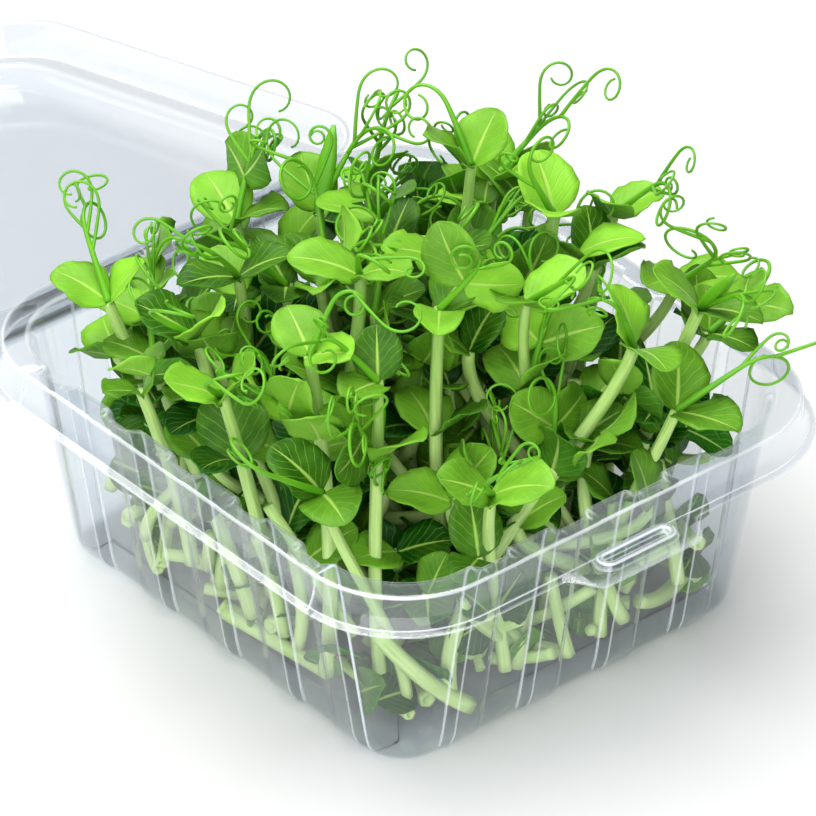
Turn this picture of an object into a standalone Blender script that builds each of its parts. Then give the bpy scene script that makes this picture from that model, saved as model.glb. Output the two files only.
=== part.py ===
"""Pea shoot microgreens in an open clear clamshell tray.

Z is up, the tray's latch faces -Y and its lid lies open beyond +Y.  The origin is on the
table, under the middle of the tray's base.  Sizes are in millimetres, and MM turns them
into Blender's metres where a mesh is made.
"""

import math
import random

import bmesh
import bpy
from mathutils import Matrix, Vector
from mathutils.bvhtree import BVHTree
from mathutils.kdtree import KDTree

MM = 0.001
SEED = 11

# The tray: a rounded rectangle, measured over its flange.
TRAY_WIDTH = 150.0
TRAY_LENGTH = 169.0
FLANGE_CORNER = 30.5
RIM_TOP = 61.0
FLANGE_DROP = 9.0
SHEET = 0.7
LEDGE_INSET = 3.5
WALL_INSET = 9.6
BASE_INSET = 20.0

# Upright ribs pressed outwards in the walls.
RIB_PITCH = 24.0
RIB_HALF_WIDTH = 6.0
RIB_CREST = 4.2
RIB_DEPTH = 2.5

# The latch tab and its pressed button.
TAB_REACH = 8.0
TAB_STEPS = ((14.0, 1.0), (17.0, 0.85), (19.0, 0.3), (21.0, 0.0))
BUTTON_LENGTH = 24.0
BUTTON_WIDTH = 7.0
BUTTON_HEIGHT = 2.6

# The lid and its hinge line.
HINGE_REACH = 2.35
HINGE_GAP = 0.15
HINGE_Y = TRAY_LENGTH / 2 + HINGE_REACH + HINGE_GAP
HINGE_Z = RIM_TOP - FLANGE_DROP + HINGE_GAP
LID_LEDGE_DEPTH = 9.2
LID_DOME_DEPTH = 6.0

# Leaves, stems, tendrils and buds.
LEAF_THICKNESS = 0.8
STEM_SIDES = 4
TENDRIL_SIDES = 3
BUD_SIDES = 5
BUD_RADII = (0.9, 1.4, 2.6, 2.4, 1.4, 0.5)
TENDRIL_ROOT = 0.9
TENDRIL_TIP = 0.6
CROWDED = 4.0
DRAWS = 16
# The shoots: the cut end's x and y, the top node's x, y and z, and how each ends.
SHOOTS = (
    (-44, -46, -37, -36, 90, "leafy"),
    (-50, -32, -46, -22, 94, "leafy"),
    (-32, -57, 26, -55, 82, "leafy"),
    (-46, -12, -61, -8, 82, "slim"),
    (-16, -44, -13, -30, 97, "arched"),
    (-38, 38, -53, 45, 78, "leafy"),
    (20, 4, 30, 9, 100, "leafy"),
    (34, -46, 45, -57, 86, "bud"),
    (44, -14, 60, -9, 82, "slim"),
    (-4, 44, -8, 52, 78, "arched"),
    (8, 28, 4, 35, 85, "bud"),
    (10, 10, 8, 17, 90, "slim"),
    (-24, -8, -19, -8, 98, "leafy"),
    (2, -20, 1, -14, 97, "slim"),
    (28, -28, 33, -18, 98, "leafy"),
    (6, -46, 8, -37, 93, "leafy"),
    (-24, 18, -31, 23, 87, "slim"),
    (40, 20, 50, 24, 80, "slim"),
    (28, 46, 35, 53, 70, "slim"),
    (-46, 12, -52, 13, 84, "slim"),
    (-16, -58, -24, -62, 66, "low"),
    (14, -58, 30, -66, 68, "low"),
    (-40, -50, -54, -36, 66, "low"),
    (46, 2, 62, -30, 72, "low"),
)
UP = Vector((0.0, 0.0, 1.0))


def collection(name):
    """A new collection in the scene."""
    made = bpy.data.collections.new(name)
    bpy.context.scene.collection.children.link(made)
    return made


def material(name, colour, roughness, alpha=1.0):
    """A Principled material of one colour."""
    made = bpy.data.materials.new(name)
    made.use_nodes = True
    shader = made.node_tree.nodes["Principled BSDF"]
    shader.inputs["Base Color"].default_value = (*colour, 1.0)
    shader.inputs["Roughness"].default_value = roughness
    shader.inputs["Metallic"].default_value = 0.0
    shader.inputs["Alpha"].default_value = alpha
    return made


def add_object(name, bm, home, finish=None):
    """An object from a bmesh whose points are in millimetres."""
    bmesh.ops.scale(bm, vec=(MM, MM, MM), verts=bm.verts)
    mesh = bpy.data.meshes.new(name)
    bm.to_mesh(mesh)
    bm.free()
    made = bpy.data.objects.new(name, mesh)
    home.objects.link(made)
    if finish:
        mesh.materials.append(finish)
    return made


# ---------------------------------------------------------------- tray and lid

def rib_height(along, count):
    """Rib height, from 0 to 1, at a place along a side with this many ribs."""
    for index in range(count):
        off = abs(along - (index - (count - 1) / 2) * RIB_PITCH)
        if off < RIB_HALF_WIDTH:
            return min(1.0, (RIB_HALF_WIDTH - off) / (RIB_HALF_WIDTH - RIB_CREST))
    return 0.0


def tab_reach(along):
    """How far the latch tab stands out of the flange at a place along the front."""
    before = (0.0, 1.0)
    for step in TAB_STEPS:
        if abs(along) <= step[0]:
            share = (abs(along) - before[0]) / (step[0] - before[0])
            return TAB_REACH * (before[1] + (step[1] - before[1]) * share)
        before = step
    return 0.0


def side_stops(ribs, lip=None, extra=()):
    """Stops (place, rib height, lip reach) along one straight side of the tray."""
    places = list(extra)
    for index in range(ribs):
        middle = (index - (ribs - 1) / 2) * RIB_PITCH
        places += [middle + sign * half for sign in (-1, 1) for half in (RIB_CREST, RIB_HALF_WIDTH)]
    return [(place, rib_height(place, ribs), lip(place) if lip else 0.0) for place in sorted(places)]


def outline(front, right, back, left, corner_steps):
    """Points round the rim, each (core point, outward normal, rib height, lip reach).

    A rim at any inset is the core point plus its normal times (corner radius - inset).
    """
    half_x = TRAY_WIDTH / 2 - FLANGE_CORNER
    half_y = TRAY_LENGTH / 2 - FLANGE_CORNER
    points = []
    for turn, stops in enumerate((front, right, back, left)):
        angle = math.radians(-90 + 90 * turn)
        normal = Vector((math.cos(angle), math.sin(angle)))
        along = Vector((-normal.y, normal.x))
        middle = Vector((normal.x * half_x, normal.y * half_y))
        for place, rib, lip in stops:
            points.append((middle + along * place, normal, rib, lip))
        corner = middle + along * (half_x if turn % 2 == 0 else half_y)
        for step in range(corner_steps + 1):
            swung = angle + math.radians(90 * step / corner_steps)
            points.append((corner, Vector((math.cos(swung), math.sin(swung))), 0, 0))
    return points


def shell(rim, profile, place=Matrix()):
    """An open sheet: the profile's stations (inset, height, rib, lip), joined round the rim."""
    bm = bmesh.new()
    rings = []
    for inset, height, rib_depth, lip_share in profile:
        ring = []
        for core, normal, rib, lip in rim:
            reach = FLANGE_CORNER - inset + rib * rib_depth + lip * lip_share
            spot = core + normal * reach
            ring.append(bm.verts.new(place @ Vector((spot.x, spot.y, height))))
        rings.append(ring)
    for inner, outer in zip(rings, rings[1:]):
        for here in range(len(rim)):
            after = (here + 1) % len(rim)
            bm.faces.new((inner[here], inner[after], outer[after], outer[here]))
    bm.faces.new(rings[0][::-1])
    return bm


def thicken(sheet):
    """Solidify towards the sheet's inner, upper side."""
    solid = sheet.modifiers.new("sheet thickness", "SOLIDIFY")
    solid.thickness = SHEET * MM
    solid.offset = -1.0


def stadium(length, width, bottom, top):
    """A round-ended bar, standing from bottom to top."""
    bm = bmesh.new()
    radius = width / 2
    ring = []
    for end in (1, -1):
        for step in range(5):
            angle = math.radians(-90 + 45 * step) + (0 if end > 0 else math.pi)
            x = end * (length / 2 - radius) + radius * math.cos(angle)
            ring.append(bm.verts.new((x, radius * math.sin(angle), bottom)))
    floor = bm.faces.new(ring)
    raised = bmesh.ops.extrude_face_region(bm, geom=[floor])["geom"]
    lifted = [item for item in raised if isinstance(item, bmesh.types.BMVert)]
    bmesh.ops.translate(bm, vec=(0, 0, top - bottom), verts=lifted)
    bmesh.ops.recalc_face_normals(bm, faces=bm.faces)
    return bm


def make_tray(home, cutters, finish):
    """The tub with its ribs, ledge, skirt, flange and latch tab, and the latch button."""
    side = side_stops(5)
    front = side_stops(4, tab_reach, extra=(-21.0, -14.0, 14.0, 21.0))
    back = side_stops(4, lambda place: HINGE_REACH)
    rim = outline(front, side, back, side, 5)
    under_ledge = RIM_TOP - SHEET
    flange = RIM_TOP - FLANGE_DROP - SHEET
    profile = (
        (BASE_INSET + 4.0, 0.0, 0.0, 0),
        (BASE_INSET + 0.6, 1.4, 0.6, 0),
        (BASE_INSET - 0.8, 5.5, 2.2, 0),
        (WALL_INSET + 1.0, RIM_TOP - 3.0, RIB_DEPTH, 0),
        (WALL_INSET, under_ledge, RIB_DEPTH, 0),
        (LEDGE_INSET, under_ledge, 0, 0),
        (LEDGE_INSET - 0.4, RIM_TOP - 5.5, 0, 0),
        (LEDGE_INSET - 1.8, flange + 0.8, 0, 0),
        (0.0, flange, 0, 1),
    )
    tray = add_object("tray", shell(rim, profile), home, finish)
    thicken(tray)
    button = add_object("latch_button", stadium(BUTTON_LENGTH, BUTTON_WIDTH, flange + 0.3,
                                                flange + BUTTON_HEIGHT), cutters)
    button.location = (0, -(TRAY_LENGTH / 2 + 1.5) * MM, 0)
    button.hide_render = True
    button.display_type = "WIRE"
    join = tray.modifiers.new("latch button", "BOOLEAN")
    join.operation = "UNION"
    join.object = button
    join.solver = "MANIFOLD"
    return tray


def lid_tilt():
    """How far the open lid slopes down: its panel's far edge then meets the table."""
    far = HINGE_REACH + 2 * HINGE_GAP + TRAY_LENGTH - 12.5
    deep = LID_LEDGE_DEPTH + LID_DOME_DEPTH + SHEET
    return math.asin(HINGE_Z / math.hypot(far, deep)) - math.atan2(deep, far)


def make_lid(home, finish):
    """The shallow domed lid, laid open on its hinge line."""
    places = (-30.0, 0.0, 30.0)
    side = [(place * 1.2, 0, 0.0) for place in places]
    front = [(place, 0, HINGE_REACH) for place in (-44.4, *places, 44.4)]
    back = [(place, 0, 0.0) for place in places]
    rim = outline(front, side, back, side, 5)
    flange = -SHEET - HINGE_GAP
    ledge = flange - LID_LEDGE_DEPTH + HINGE_GAP
    profile = (
        (13.0, ledge - LID_DOME_DEPTH, 0, 0),
        (10.6, ledge - LID_DOME_DEPTH + 1.2, 0, 0),
        (8.6, ledge, 0, 0),
        (2.9, ledge, 0, 0),
        (2.3, ledge + 4.6, 0, 0),
        (1.2, flange, 0, 0),
        (0.0, flange, 0, 1),
    )
    middle = TRAY_LENGTH / 2 + HINGE_REACH + HINGE_GAP
    lid = add_object("lid", shell(rim, profile, Matrix.Translation((0, middle, 0))), home, finish)
    thicken(lid)
    lid.location = (0, HINGE_Y * MM, HINGE_Z * MM)
    lid.rotation_euler = (-lid_tilt(), 0, 0)
    return lid


# ---------------------------------------------------------------- pea shoots

def free_of_tray(point, spare):
    """True where a point keeps this distance from the tray's inside and from the lid's path."""
    if point.z < 2.5 + spare:
        return False
    if point.z > RIM_TOP + spare:
        return point.y < HINGE_Y - 7.0 - spare and abs(point.x) < TRAY_WIDTH / 2 + 8.0
    inset = BASE_INSET + 1.6 - (BASE_INSET - WALL_INSET) * point.z / RIM_TOP + SHEET + spare
    past_x = max(0.0, abs(point.x) - (TRAY_WIDTH / 2 - FLANGE_CORNER))
    past_y = max(0.0, abs(point.y) - (TRAY_LENGTH / 2 - FLANGE_CORNER))
    return math.hypot(past_x, past_y) < FLANGE_CORNER - inset


def bezier(start, pull_start, pull_end, end, count):
    """Points on a cubic curve."""
    points = []
    for index in range(count + 1):
        late = index / count
        early = 1 - late
        points.append(start * early ** 3 + pull_start * (3 * early * early * late)
                      + pull_end * (3 * early * late * late) + end * late ** 3)
    return points


def across(direction, angle):
    """A unit vector square to a direction, turned by an angle about it."""
    side = direction.cross(UP)
    if side.length < 0.05:
        side = direction.cross(Vector((0.0, 1.0, 0.0)))
    return Matrix.Rotation(angle, 3, direction) @ side.normalized()


def tendril_path(root, heading, axis, length, turns):
    """A petiole that runs out nearly straight and ends in a coil, as 61 points."""
    points = [root.copy()]
    heading = heading.normalized()
    for index in range(60):
        share = (index + 0.5) / 60
        wound = 0.25 * share + turns * 2 * math.pi * max(0.0, (share - 0.32) / 0.68) ** 1.5
        turned = Matrix.Rotation(wound, 3, axis) @ heading
        points.append(points[-1] + (turned + axis * 0.16 * share) * (length / 60))
    return points


def leaf(root, heading, facing, length, width, rng):
    """One ovate leaflet, as the numbers that its surface is worked out from."""
    heading = heading.normalized()
    side = heading.cross(facing).normalized()
    return {
        "root": root, "heading": heading, "side": side, "facing": side.cross(heading),
        "length": length, "width": width, "arch": rng.uniform(0.08, 0.3),
        "cup": rng.uniform(0.02, 0.16), "wave": rng.uniform(0.3, 0.9), "phase": rng.uniform(0, 6.3),
    }


def leaf_point(made, along, sideways):
    """A point of a leaflet: along runs 0 to 1 from root to tip, sideways -1 to 1."""
    half = made["width"] / 2 * 1.96 * along ** 0.48 * (1 - along) ** 0.55
    lift = made["cup"] * half * sideways * sideways - made["arch"] * made["length"] * along * along
    lift += made["wave"] * sideways * sideways * math.sin(made["phase"] + 9 * along + 1.5 * sideways)
    reach = made["length"] * (along - 0.12 * along * along)
    return (made["root"] + made["heading"] * reach + made["side"] * (half * sideways)
            + made["facing"] * lift)


def grow(base, tip, kind, rng):
    """One shoot: a stem with its leafy nodes, leaflets on their stalks, tendrils and a bud."""
    rise = (tip - base).length
    lean = Vector((tip.x / 210, tip.y / 210, 1)).normalized()
    sway = Vector((rng.uniform(-8, 8), rng.uniform(-8, 8), rise * 0.35))
    stem = bezier(base, base + sway, tip - lean * rise * 0.35, tip, 24)
    shoot = {"stem": stem, "radius": rng.uniform(1.4, 1.9), "leaves": [], "tendrils": [], "buds": []}
    turn = rng.uniform(0, 6.3)
    nodes = [(24, 1.0 if kind == "low" else 0.88)]
    if kind != "low":
        nodes.insert(0, (rng.choice((15, 16, 17)), 1.0))
    for place, size in nodes:
        along = (stem[place] - stem[place - 2]).normalized()
        for sign in (0, 1):
            outwards = across(along, turn + sign * 2.5)
            spread = rng.uniform(0.5, 1.05)
            heading = along * math.cos(spread) + outwards * math.sin(spread)
            facing = along * math.sin(spread) - outwards * math.cos(spread)
            length = rng.uniform(17, 22) * size
            shoot["leaves"].append(leaf(stem[place], heading, facing, length, length * 0.84, rng))
        stalk = across(along, turn + 1.3 + rng.uniform(-0.5, 0.5))
        heading = along * 0.8 + stalk * 0.6
        axis = heading.cross(across(along, rng.uniform(0, 6.3))).normalized()
        path = tendril_path(stem[place], heading, axis, rng.uniform(44, 64) * size, rng.uniform(1.0, 1.6))
        if place == 24 or kind == "leafy":
            shoot["tendrils"].append(path)
        if place != 24 and kind == "leafy" or place == 24 and kind == "arched":
            for sign in (-1, 1):
                growing = (path[16] - path[12]).normalized()
                outwards = axis.cross(growing).normalized() * sign
                shoot["leaves"].append(leaf(path[14], growing * 0.5 + outwards * 0.85, axis,
                                            rng.uniform(15, 19), 14.5, rng))
        turn += 1.6
    if kind == "bud":
        reach = (lean + across(lean, turn) * 0.5).normalized()
        shoot["buds"].append([tip + reach * step for step in (-1.5, 2, 7, 13, 18, 21)])
    return shoot


def samples(shoot):
    """Points spread over a shoot, to test how near it comes to others."""
    points = shoot["stem"][3::3]
    for path in shoot["tendrils"] + shoot["buds"]:
        points = points + path[2::5]
    for made in shoot["leaves"]:
        points = points + [leaf_point(made, *spot) for spot in ((0.3, 0), (0.45, -0.8), (0.45, 0.8), (0.95, 0))]
    return points


def trim_to_tray(shoot):
    """Drops the leaves, tendrils and buds that would touch the tray, and counts them."""
    def leaf_is_free(made):
        return all(free_of_tray(leaf_point(made, along, side), 1.0)
                   for along in (0.25, 0.5, 0.75, 1.0) for side in (-1, 1))

    before = len(shoot["leaves"]) + len(shoot["tendrils"]) + len(shoot["buds"])
    shoot["leaves"] = [made for made in shoot["leaves"] if leaf_is_free(made)]
    for kind in ("tendrils", "buds"):
        shoot[kind] = [path for path in shoot[kind] if all(free_of_tray(point, 1.5) for point in path)]
    return before - len(shoot["leaves"]) - len(shoot["tendrils"]) - len(shoot["buds"])


def plan_shoots():
    """Every shoot, drawn several times and kept as it stands clearest of the tray and the others."""
    rng = random.Random(SEED)
    shoots = []
    taken = []
    for cut_x, cut_y, tip_x, tip_y, tip_z, kind in SHOOTS:
        near = KDTree(len(taken))
        for index, point in enumerate(taken):
            near.insert(point, index)
        near.balance()
        best = None
        for draw in range(DRAWS):
            base = Vector((cut_x, cut_y, rng.uniform(5.5, 11)))
            shoot = grow(base, Vector((tip_x, tip_y, tip_z)), kind, rng)
            if not all(free_of_tray(point, 2.6) for point in shoot["stem"]):
                continue
            lost = trim_to_tray(shoot)
            cost = 3 * lost + sum(len(near.find_range(point, CROWDED)) for point in samples(shoot))
            if best is None or cost < best[0]:
                best = (cost, shoot)
        shoots.append(best[1])
        taken += samples(best[1])
    return shoots


def tube(points, radii, sides):
    """A closed tube along points, whose radius runs evenly through the radii given."""
    bm = bmesh.new()
    rings = []
    heading = (points[1] - points[0]).normalized()
    side = across(heading, 0.0)
    for index, point in enumerate(points):
        ahead = points[min(index + 1, len(points) - 1)] - points[max(index - 1, 0)]
        heading = ahead.normalized()
        side = (side - heading * side.dot(heading)).normalized()
        place = index / (len(points) - 1) * (len(radii) - 1)
        first = min(int(place), len(radii) - 2)
        radius = radii[first] + (radii[first + 1] - radii[first]) * (place - first)
        ring = []
        for step in range(sides):
            turned = Matrix.Rotation(2 * math.pi * step / sides, 3, heading) @ side
            ring.append(bm.verts.new(point + turned * radius))
        rings.append(ring)
    for low, high in zip(rings, rings[1:]):
        for step in range(sides):
            after = (step + 1) % sides
            bm.faces.new((low[step], low[after], high[after], high[step]))
    bm.faces.new(rings[0][::-1])
    bm.faces.new(rings[-1])
    bmesh.ops.triangulate(bm, faces=bm.faces)
    bmesh.ops.recalc_face_normals(bm, faces=bm.faces)
    return bm


def blade(made):
    """A leaflet as a thin closed solid, split into triangles alike on both faces."""
    stations = (0.18, 0.48, 0.82)
    lift = made["facing"] * (LEAF_THICKNESS / 2)
    bm = bmesh.new()
    layers = []
    for up in (lift, -lift):
        root = bm.verts.new(leaf_point(made, 0.0, 0) + up)
        tip = bm.verts.new(leaf_point(made, 1.0, 0) + up)
        rows = [[bm.verts.new(leaf_point(made, along, side) + up) for side in (-1, 0, 1)]
                for along in stations]
        layers.append((root, rows, tip))
        faces = [(root, rows[0][0], rows[0][1]), (root, rows[0][1], rows[0][2])]
        for near, far in zip(rows, rows[1:]):
            faces += [(near[0], far[0], far[1]), (near[0], far[1], near[1])]
            faces += [(near[1], far[1], far[2]), (near[1], far[2], near[2])]
        faces += [(rows[-1][0], tip, rows[-1][1]), (rows[-1][1], tip, rows[-1][2])]
        for face in faces:
            bm.faces.new(face if up is lift else face[::-1])
    edges = [[layer[0], *[row[0] for row in layer[1]], layer[2], *[row[2] for row in layer[1][::-1]]]
             for layer in layers]
    for here in range(len(edges[0])):
        after = (here + 1) % len(edges[0])
        upper, lower = edges
        bm.faces.new((upper[here], lower[here], lower[after]))
        bm.faces.new((upper[here], lower[after], upper[after]))
    bmesh.ops.recalc_face_normals(bm, faces=bm.faces)
    return bm


def shoot_solids(shoot):
    """The closed solids that one shoot is fused from, its stem first."""
    radius = shoot["radius"]
    solids = [tube(shoot["stem"][::4], (radius, radius * 0.8), STEM_SIDES)]
    solids += [tube(path[::5], (TENDRIL_ROOT, TENDRIL_TIP), TENDRIL_SIDES) for path in shoot["tendrils"]]
    solids += [tube(path, BUD_RADII, BUD_SIDES) for path in shoot["buds"]]
    solids += [blade(made) for made in shoot["leaves"]]
    return solids


def bunches(solid_sets):
    """Groups of shoots that cross each other, as lists of their numbers."""
    trees = [[BVHTree.FromBMesh(bm) for bm in solids] for solids in solid_sets]
    group = list(range(len(trees)))
    for here in range(len(trees)):
        for other in range(here):
            crosses = any(a.overlap(b) for a in trees[here] for b in trees[other])
            if crosses and group[here] != group[other]:
                old = group[here]
                group = [group[other] if mark == old else mark for mark in group]
    return [[number for number, mark in enumerate(group) if mark == kept] for kept in sorted(set(group))]


def keep_one_body(mesh):
    """Drops loose scraps and sealed hollows, so that the largest closed body is left."""
    bm = bmesh.new()
    bm.from_mesh(mesh)
    bmesh.ops.triangulate(bm, faces=bm.faces)
    left = set(bm.verts)
    islands = []
    while left:
        stack = [left.pop()]
        island = []
        while stack:
            vert = stack.pop()
            island.append(vert)
            for edge in vert.link_edges:
                other = edge.other_vert(vert)
                if other in left:
                    left.remove(other)
                    stack.append(other)
        islands.append(island)
    islands.sort(key=len)
    for island in islands[:-1]:
        bmesh.ops.delete(bm, geom=island, context="VERTS")
    bm.to_mesh(mesh)
    bm.free()


def fuse(name, solids, home, finish):
    """One object from crossing solids, by a Boolean union that is applied."""
    workshop = collection(name + " pieces")
    pieces = [add_object(name + " piece", bm, workshop) for bm in solids[1:]]
    made = add_object(name, solids[0], home, finish)
    union = made.modifiers.new("union", "BOOLEAN")
    union.operation = "UNION"
    union.operand_type = "COLLECTION"
    union.collection = workshop
    union.solver = "MANIFOLD"
    depsgraph = bpy.context.evaluated_depsgraph_get()
    fused = bpy.data.meshes.new_from_object(made.evaluated_get(depsgraph))
    made.modifiers.clear()
    made.data = fused
    keep_one_body(fused)
    for piece in pieces:
        bpy.data.objects.remove(piece)
    bpy.data.collections.remove(workshop)


def make_shoots(home, finish):
    """Every bunch of shoots that cross, fused into one node."""
    solid_sets = [shoot_solids(shoot) for shoot in plan_shoots()]
    for count, members in enumerate(bunches(solid_sets), 1):
        solids = [bm for number in members for bm in solid_sets[number]]
        fuse(f"pea_shoots_{count:02d}", solids, home, finish)


for old in list(bpy.data.objects):
    bpy.data.objects.remove(old)
parts = collection("pea shoot microgreens tray")
cutters = collection("cutters")
clear_plastic = material("clear PET", (0.80, 0.84, 0.84), 0.08, alpha=0.35)
pea_green = material("pea shoot green", (0.13, 0.34, 0.06), 0.5)
make_tray(parts, cutters, clear_plastic)
make_lid(parts, clear_plastic)
make_shoots(parts, pea_green)
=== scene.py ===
import math
import random

import bmesh
import bpy
from mathutils import Matrix, Vector
from mathutils.kdtree import KDTree


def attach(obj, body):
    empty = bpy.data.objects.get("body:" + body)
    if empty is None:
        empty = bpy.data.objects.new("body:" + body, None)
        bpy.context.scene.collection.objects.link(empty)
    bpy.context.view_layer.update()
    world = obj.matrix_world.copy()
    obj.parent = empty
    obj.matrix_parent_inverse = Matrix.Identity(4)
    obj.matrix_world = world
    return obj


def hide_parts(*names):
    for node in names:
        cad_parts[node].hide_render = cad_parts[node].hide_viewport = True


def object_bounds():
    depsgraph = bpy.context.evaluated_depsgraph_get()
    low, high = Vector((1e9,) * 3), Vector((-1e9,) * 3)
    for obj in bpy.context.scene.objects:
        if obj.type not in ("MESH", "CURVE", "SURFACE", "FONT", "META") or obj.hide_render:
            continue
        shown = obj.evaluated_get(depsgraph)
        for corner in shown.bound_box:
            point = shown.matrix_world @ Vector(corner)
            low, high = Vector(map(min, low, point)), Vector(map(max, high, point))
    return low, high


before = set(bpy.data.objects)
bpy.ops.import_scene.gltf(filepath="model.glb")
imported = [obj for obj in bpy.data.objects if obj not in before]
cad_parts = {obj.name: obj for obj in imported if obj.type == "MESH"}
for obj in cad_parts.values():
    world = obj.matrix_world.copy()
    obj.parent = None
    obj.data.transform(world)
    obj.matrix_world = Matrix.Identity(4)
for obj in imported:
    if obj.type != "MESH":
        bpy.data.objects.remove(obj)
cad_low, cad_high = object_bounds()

# ------------------------------------------------------------------ studio
# A pale paper sweep in a dim white surround, lit by two large soft boxes: one overhead and a
# little behind the tray, and a wider, weaker one in front of it on the left.

MM = 0.001
LOOK_AT = Vector((5.8, 3.8, 42.9)) * MM
CAMERA_AZIMUTH = math.radians(-40.15)
CAMERA_ELEVATION = math.radians(34.3)
CAMERA_DISTANCE = 2.173
CAMERA_LENS = 397.0

bpy.ops.object.select_all(action="DESELECT")
toward = Vector((math.sin(CAMERA_AZIMUTH) * math.cos(CAMERA_ELEVATION),
                 -math.cos(CAMERA_AZIMUTH) * math.cos(CAMERA_ELEVATION),
                 math.sin(CAMERA_ELEVATION)))
bpy.ops.object.camera_add(location=LOOK_AT + toward * CAMERA_DISTANCE)
camera = bpy.context.object
camera.rotation_euler = (-toward).to_track_quat("-Z", "Y").to_euler()
camera.data.lens = CAMERA_LENS
camera.data.sensor_width = 36.0
camera.data.clip_start = 0.05
camera.data.clip_end = 50.0
bpy.context.scene.camera = camera


def soft_box(name, location, size, power):
    """A square area light turned towards the tray."""
    bpy.ops.object.light_add(type="AREA", location=location)
    lamp = bpy.context.object
    lamp.name = name
    lamp.rotation_euler = (LOOK_AT - Vector(location)).to_track_quat("-Z", "Y").to_euler()
    lamp.data.shape = "SQUARE"
    lamp.data.size = size
    lamp.data.energy = power


soft_box("overhead soft box", (0.0, 0.35, 1.2), 1.2, 27.0)
soft_box("front soft box", (-0.8, -0.75, 0.6), 1.4, 19.0)


def linear(hex_colour):
    """A linear RGBA colour from an sRGB hex value such as 'b8d67a'."""
    channels = [int(hex_colour[place:place + 2], 16) / 255 for place in (0, 2, 4)]
    return [c / 12.92 if c <= 0.04045 else ((c + 0.055) / 1.055) ** 2.4 for c in channels] + [1.0]


def add_node(tree, kind, inputs=None, **settings):
    """Adds a node, sets its settings, and fills its inputs with values or with other nodes' outputs."""
    made = tree.nodes.new(kind)
    for setting, value in settings.items():
        setattr(made, setting, value)
    for socket, value in (inputs or {}).items():
        if isinstance(value, bpy.types.NodeSocket):
            tree.links.new(value, made.inputs[socket])
        else:
            made.inputs[socket].default_value = value
    return made


def new_material(name):
    """An empty node material and its output node."""
    made = bpy.data.materials.new(name)
    made.use_nodes = True
    made.node_tree.nodes.clear()
    return made, made.node_tree, made.node_tree.nodes.new("ShaderNodeOutputMaterial")


sky = bpy.data.worlds.new("white surround")
sky.use_nodes = True
sky.node_tree.nodes["Background"].inputs["Color"].default_value = linear("ffffff")
sky.node_tree.nodes["Background"].inputs["Strength"].default_value = 0.15
bpy.context.scene.world = sky
bpy.context.scene.view_settings.view_transform = "Standard"

bpy.ops.mesh.primitive_plane_add(size=8.0, location=(0, 0, 0))
floor = bpy.context.object
floor.name = "floor"
paper, tree, output = new_material("pale paper sweep")
shader = add_node(tree, "ShaderNodeBsdfDiffuse", {"Color": linear("d0d0d0")})
tree.links.new(shader.outputs[0], output.inputs["Surface"])
floor.data.materials.append(paper)

# ------------------------------------------------------------------ clear tray
# One sheet of clear PET, heated and drawn into a mould: thin, glossy and slightly cool in
# tint. Its walls taper and carry upright ribs; the rim is a flat ledge with an outer skirt
# that steps out to a narrow flange, with a latch tab and its long pressed button in front.

TRAY_WIDTH = 150.0
TRAY_LENGTH = 169.0
FLANGE_CORNER = 30.5
RIM_TOP = 61.0
FLANGE_DROP = 9.0
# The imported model's sheet is thicker than the real one, so that it stays a sound solid.
CAD_SHEET = 0.7
SHEET = 0.5
LEDGE_INSET = 3.5
WALL_INSET = 9.6
BASE_INSET = 20.0
RIB_PITCH = 24.0
RIB_HALF_WIDTH = 6.0
RIB_CREST = 4.2
RIB_DEPTH = 2.5
TAB_REACH = 8.0
TAB_HALF_LENGTH = 21.0
TAB_OGEE = 6.5
BUTTON_LENGTH = 24.0
BUTTON_WIDTH = 7.0


def smooth(value):
    """A soft step from 0 to 1."""
    value = min(1.0, max(0.0, value))
    return value * value * (3 - 2 * value)


def rib_height(along, count):
    """Rib height, from 0 to 1, at a place along a side with this many ribs."""
    for index in range(count):
        off = abs(along - (index - (count - 1) / 2) * RIB_PITCH)
        if off < RIB_HALF_WIDTH:
            return min(1.0, (RIB_HALF_WIDTH - off) / (RIB_HALF_WIDTH - RIB_CREST))
    return 0.0


def tab_reach(along):
    """How far the latch tab stands out of the flange: straight, with ogee ends."""
    return TAB_REACH * smooth((TAB_HALF_LENGTH - abs(along)) / TAB_OGEE)


def no_lip(along):
    """A side whose flange runs straight."""
    return 0.0


POINT_PITCH = 1.5
CORNER_STEPS = 26
RIB_EDGE_ROUND = 0.15
RIB_EDGE_POINTS = (-0.4, -RIB_EDGE_ROUND, 0.0, RIB_EDGE_ROUND, 0.4)
RIB_EDGE_CLEAR = 0.7


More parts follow.
